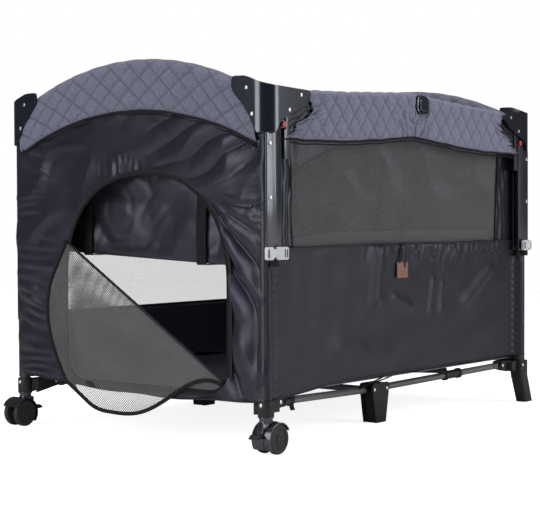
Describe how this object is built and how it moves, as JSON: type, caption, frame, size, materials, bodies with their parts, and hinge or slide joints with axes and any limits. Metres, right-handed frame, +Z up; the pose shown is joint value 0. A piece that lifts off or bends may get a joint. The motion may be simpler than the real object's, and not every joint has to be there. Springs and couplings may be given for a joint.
{
  "type": "playpen",
  "caption": "Folding playpen with padded rails, arched ends, a drop side, mesh windows, a zip-out doorway, a hung bassinet and braked casters.",
  "frame": {"origin": "middle of the footprint, on the floor", "axes": "+X along the length from the doorway end to the other end, +Y across from the drop side to the back side, +Z up"},
  "size_m": [1.1562, 0.7869, 0.832],
  "materials": {
    "post_metal": "black powder-coated steel tube",
    "rail_metal": "black powder-coated steel tube",
    "floor_metal": "grey powder-coated steel tube",
    "cap_plastic": "polished black moulding",
    "track_plastic": "black moulding with a soft shine",
    "bracket_plastic": "fine-grained black moulding",
    "button_plastic": "black push button",
    "release_plastic": "red release button",
    "caster_plastic": "polished black caster hood",
    "wheel_plastic": "dark grey caster tread",
    "buckle_plastic": "pale grey acetal buckle",
    "rivet_steel": "domed steel rivet",
    "quilt_fabric": "quilted lilac-grey cloth, diamond stitched",
    "satin_fabric": "charcoal satin polyester",
    "mesh_fabric": "dark knitted mesh",
    "bassinet_fabric": "black polyester",
    "mattress_fabric": "quilted grey cloth over foam"
  },
  "bodies": {
    "door_end": {"door_drop_post": "post_metal", "door_back_post": "post_metal", "door_drop_cap": "cap_plastic", "door_back_cap": "cap_plastic", "door_arch_rail": "rail_metal", "door_arch_cover": "quilt_fabric", "door_end_panel": "satin_fabric", "door_lower_mesh": "mesh_fabric", "door_drop_track": "track_plastic", "door_drop_bracket": "bracket_plastic", "door_back_bracket": "bracket_plastic", "door_rivets": "rivet_steel", "door_buckle": "buckle_plastic", "drop_lower_panel": "satin_fabric", "back_side_panel": "mesh_fabric", "floor_panel": "satin_fabric", "bassinet": "bassinet_fabric", "mattress": "mattress_fabric"},
    "far_end": {"far_drop_post": "post_metal", "far_back_post": "post_metal", "far_drop_cap": "cap_plastic", "far_back_cap": "cap_plastic", "far_arch_rail": "rail_metal", "far_arch_cover": "quilt_fabric", "far_end_panel": "satin_fabric", "far_drop_track": "track_plastic", "far_drop_foot": "bracket_plastic", "far_back_foot": "bracket_plastic", "far_rivets": "rivet_steel", "far_buckle": "buckle_plastic"},
    "door_floor": {"door_floor_tubes": "floor_metal"},
    "centre": {"centre_feet": "bracket_plastic", "centre_bar": "floor_metal"},
    "far_floor": {"far_floor_tubes": "floor_metal"},
    "back_door_rail": {"back_door_rail": "rail_metal", "back_door_cover": "quilt_fabric"},
    "back_latch": {"back_latch": "track_plastic"},
    "back_latch_button": {"back_latch_button": "button_plastic"},
    "back_far_rail": {"back_far_rail": "rail_metal", "back_far_cover": "quilt_fabric"},
    "drop_door_slider": {"door_drop_slider": "track_plastic"},
    "drop_far_slider": {"far_drop_slider": "track_plastic"},
    "drop_door_rail": {"drop_door_rail": "rail_metal", "drop_door_cover": "quilt_fabric", "drop_door_window": "mesh_fabric"},
    "drop_latch": {"drop_latch": "track_plastic"},
    "drop_latch_button": {"drop_latch_button": "button_plastic"},
    "drop_far_rail": {"drop_far_rail": "rail_metal", "drop_far_cover": "quilt_fabric", "drop_far_window": "mesh_fabric"},
    "door_drop_release": {"door_drop_release": "release_plastic"},
    "far_drop_release": {"far_drop_release": "release_plastic"},
    "door_drop_caster": {"door_drop_caster": "caster_plastic"},
    "door_back_caster": {"door_back_caster": "caster_plastic"},
    "door_drop_wheels": {"door_drop_wheels": "wheel_plastic"},
    "door_back_wheels": {"door_back_wheels": "wheel_plastic"},
    "door_drop_brake": {"door_drop_brake": "caster_plastic"},
    "door_back_brake": {"door_back_brake": "caster_plastic"},
    "door_flap": {"door_flap": "mesh_fabric"}
  },
  "joints": [
    {"name": "frame_fold", "type": "hinge", "parent": "door_end", "child": "door_floor", "pos_m": [-0.466, 0, 0.1], "axis": [0, -1, 0], "range_deg": [0, 82], "deforming": ["drop_lower_panel", "back_side_panel", "floor_panel", "bassinet", "mattress", "drop_door_cover", "drop_far_cover", "back_door_cover", "back_far_cover", "drop_door_window", "drop_far_window"]},
    {"name": "centre_hinge", "type": "hinge", "parent": "door_floor", "child": "centre", "pos_m": [-0.026, 0, 0.078], "axis": [0, -1, 0], "range_deg": [-82, 0]},
    {"name": "far_floor_hinge", "type": "hinge", "parent": "centre", "child": "far_floor", "pos_m": [0.026, 0, 0.078], "axis": [0, 1, 0], "range_deg": [0, 82]},
    {"name": "far_end_hinge", "type": "hinge", "parent": "far_floor", "child": "far_end", "pos_m": [0.466, 0, 0.1], "axis": [0, 1, 0], "range_deg": [-82, 0]},
    {"name": "back_door_rail_hinge", "type": "hinge", "parent": "door_end", "child": "back_door_rail", "pos_m": [-0.47, 0.3625, 0.722], "axis": [0, 1, 0], "range_deg": [0, 82]},
    {"name": "back_latch_hinge", "type": "hinge", "parent": "back_door_rail", "child": "back_latch", "pos_m": [-0.03, 0.3625, 0.744], "axis": [0, 1, 0], "range_deg": [-82, 0]},
    {"name": "back_far_rail_hinge", "type": "hinge", "parent": "far_end", "child": "back_far_rail", "pos_m": [0.47, 0.3625, 0.722], "axis": [0, -1, 0], "range_deg": [0, 82]},
    {"name": "drop_slide", "type": "slide", "parent": "door_end", "child": "drop_door_slider", "axis": [0, 0, -1], "range_m": [0, 0.2]},
    {"name": "drop_far_slide", "type": "slide", "parent": "far_end", "child": "drop_far_slider", "axis": [0, 0, -1], "range_m": [0, 0.2]},
    {"name": "drop_door_rail_hinge", "type": "hinge", "parent": "drop_door_slider", "child": "drop_door_rail", "pos_m": [-0.47, -0.3625, 0.722], "axis": [0, 1, 0], "range_deg": [0, 82]},
    {"name": "drop_latch_hinge", "type": "hinge", "parent": "drop_door_rail", "child": "drop_latch", "pos_m": [-0.03, -0.3625, 0.744], "axis": [0, 1, 0], "range_deg": [-82, 0]},
    {"name": "drop_far_rail_hinge", "type": "hinge", "parent": "drop_far_slider", "child": "drop_far_rail", "pos_m": [0.47, -0.3625, 0.722], "axis": [0, -1, 0], "range_deg": [0, 82]},
    {"name": "drop_latch_press", "type": "slide", "parent": "drop_latch", "child": "drop_latch_button", "axis": [0, 1, 0], "range_m": [0, 0.0035], "stiffness_N_per_m": 500, "springref_m": -0.002},
    {"name": "back_latch_press", "type": "slide", "parent": "back_latch", "child": "back_latch_button", "axis": [0, -1, 0], "range_m": [0, 0.0035], "stiffness_N_per_m": 500, "springref_m": -0.002},
    {"name": "door_release_press", "type": "slide", "parent": "door_end", "child": "door_drop_release", "axis": [0, 1, 0], "range_m": [0, 0.0025], "stiffness_N_per_m": 500, "springref_m": -0.002},
    {"name": "far_release_press", "type": "slide", "parent": "far_end", "child": "far_drop_release", "axis": [0, 1, 0], "range_m": [0, 0.0025], "stiffness_N_per_m": 500, "springref_m": -0.002},
    {"name": "drop_caster_swivel", "type": "hinge", "parent": "door_end", "child": "door_drop_caster", "pos_m": [-0.53, -0.3625, 0.06], "axis": [0, 0, 1], "continuous": true},
    {"name": "back_caster_swivel", "type": "hinge", "parent": "door_end", "child": "door_back_caster", "pos_m": [-0.53, 0.3625, 0.06], "axis": [0, 0, 1], "continuous": true},
    {"name": "drop_wheel_spin", "type": "hinge", "parent": "door_drop_caster", "child": "door_drop_wheels", "pos_m": [-0.513, -0.3625, 0.031], "axis": [0, 1, 0], "continuous": true},
    {"name": "back_wheel_spin", "type": "hinge", "parent": "door_back_caster", "child": "door_back_wheels", "pos_m": [-0.547, 0.3625, 0.031], "axis": [0, 1, 0], "continuous": true},
    {"name": "drop_brake_press", "type": "hinge", "parent": "door_drop_caster", "child": "door_drop_brake", "pos_m": [-0.554, -0.3625, 0.04], "axis": [0, -1, 0], "range_deg": [0, 14]},
    {"name": "back_brake_press", "type": "hinge", "parent": "door_back_caster", "child": "door_back_brake", "pos_m": [-0.506, 0.3625, 0.04], "axis": [0, 1, 0], "range_deg": [0, 14]},
    {"name": "door_flap_hinge", "type": "hinge", "parent": "door_end", "child": "door_flap", "pos_m": [-0.548, 0.203, 0.432], "axis": [0, 0.8497, 0.5272], "range_deg": [0, 178]}
  ],
  "couplings": [
    {"joint": "centre_hinge", "follows": "frame_fold", "ratio": -1},
    {"joint": "far_floor_hinge", "follows": "frame_fold", "ratio": 1},
    {"joint": "far_end_hinge", "follows": "frame_fold", "ratio": -1},
    {"joint": "back_door_rail_hinge", "follows": "frame_fold", "ratio": 1},
    {"joint": "back_latch_hinge", "follows": "frame_fold", "ratio": -1},
    {"joint": "back_far_rail_hinge", "follows": "frame_fold", "ratio": 1},
    {"joint": "drop_door_rail_hinge", "follows": "frame_fold", "ratio": 1},
    {"joint": "drop_latch_hinge", "follows": "frame_fold", "ratio": -1},
    {"joint": "drop_far_rail_hinge", "follows": "frame_fold", "ratio": 1},
    {"joint": "drop_far_slide", "follows": "drop_slide", "ratio": 1}
  ]
}
